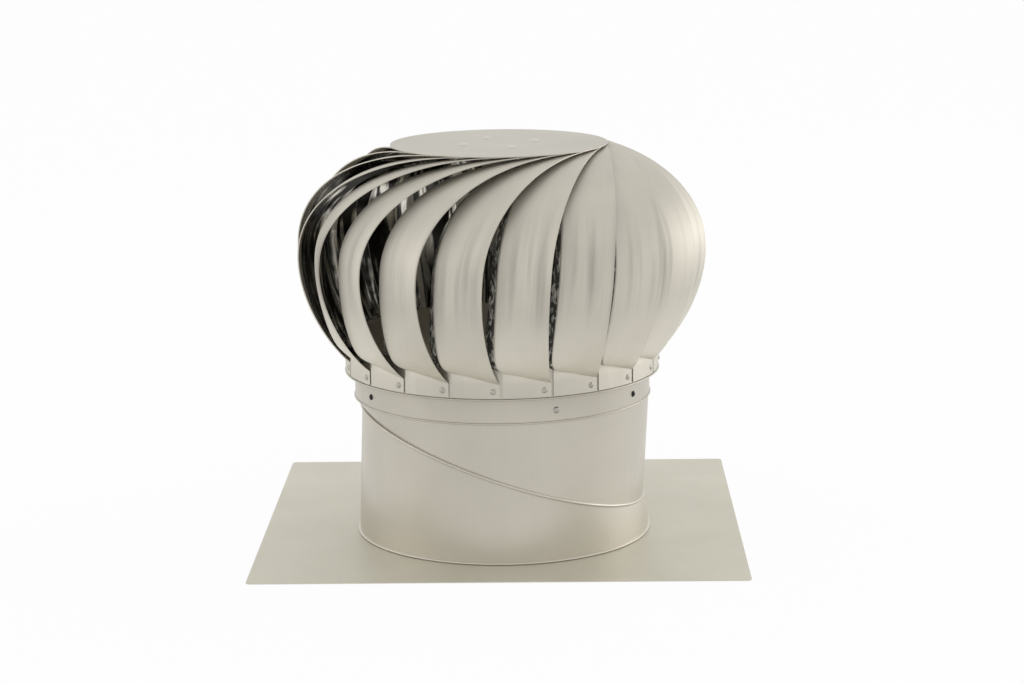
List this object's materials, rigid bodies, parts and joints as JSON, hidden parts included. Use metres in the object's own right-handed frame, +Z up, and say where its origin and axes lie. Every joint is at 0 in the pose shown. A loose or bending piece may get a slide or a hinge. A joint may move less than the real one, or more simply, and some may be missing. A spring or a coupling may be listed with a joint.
{
  "type": "turbine roof vent",
  "caption": "Wind-driven turbine roof vent: a ball-shaped head of curved vanes spins on a swivelling round throat above a flat flashing plate.",
  "frame": {"origin": "on the throat's axis, at the underside of the base plate", "axes": "+Z up the throat, +X to the right and +Y to the back when the plate's short side is in front"},
  "size_m": [0.491, 0.4751, 0.4038],
  "materials": {
    "sheet_steel": "satin stainless sheet, rolled and seamed",
    "vane_steel": "polished stainless strip",
    "bracket_steel": "zinc-plated steel",
    "bright_steel": "bright turned steel",
    "black_bolt": "black oxide"
  },
  "bodies": {
    "base": {"base_plate": "sheet_steel", "neck_lower": "sheet_steel"},
    "neck": {"neck_upper": "sheet_steel", "throat_collar": "sheet_steel", "spider": "bracket_steel", "arm_bolts": "black_bolt", "arm_nuts": "bracket_steel", "collar_screws": "bright_steel", "shaft": "bright_steel", "spider_washers": "bracket_steel", "spider_nut_lower": "bracket_steel", "spider_nut_upper": "bracket_steel", "bearing_stop_nut": "bracket_steel", "lower_bearing_inner": "bright_steel", "bearing_spacer": "bracket_steel", "upper_bearing_inner": "bright_steel", "shaft_lock_nut": "bracket_steel"},
    "rotor": {"lower_bearing_outer": "bright_steel", "upper_bearing_outer": "bright_steel", "hub": "bracket_steel", "top_plate": "sheet_steel", "hub_rivets": "bright_steel", "lower_band": "sheet_steel", "vane_rivets": "bright_steel", "vane_01": "vane_steel", "vane_02": "vane_steel", "vane_03": "vane_steel", "vane_04": "vane_steel", "vane_05": "vane_steel", "vane_06": "vane_steel", "vane_07": "vane_steel", "vane_08": "vane_steel", "vane_09": "vane_steel", "vane_10": "vane_steel", "vane_11": "vane_steel", "vane_12": "vane_steel", "vane_13": "vane_steel", "vane_14": "vane_steel", "vane_15": "vane_steel", "vane_16": "vane_steel", "vane_17": "vane_steel", "vane_18": "vane_steel", "vane_19": "vane_steel", "vane_20": "vane_steel"}
  },
  "joints": [
    {"name": "neck_swivel", "type": "hinge", "parent": "base", "child": "neck", "pos_m": [0, 0, 0.08499], "axis": [0.3256, 0, 0.9455], "range_deg": [-180, 180]},
    {"name": "rotor_spin", "type": "hinge", "parent": "neck", "child": "rotor", "pos_m": [0, 0, 0.3], "axis": [0, 0, 1], "continuous": true}
  ]
}
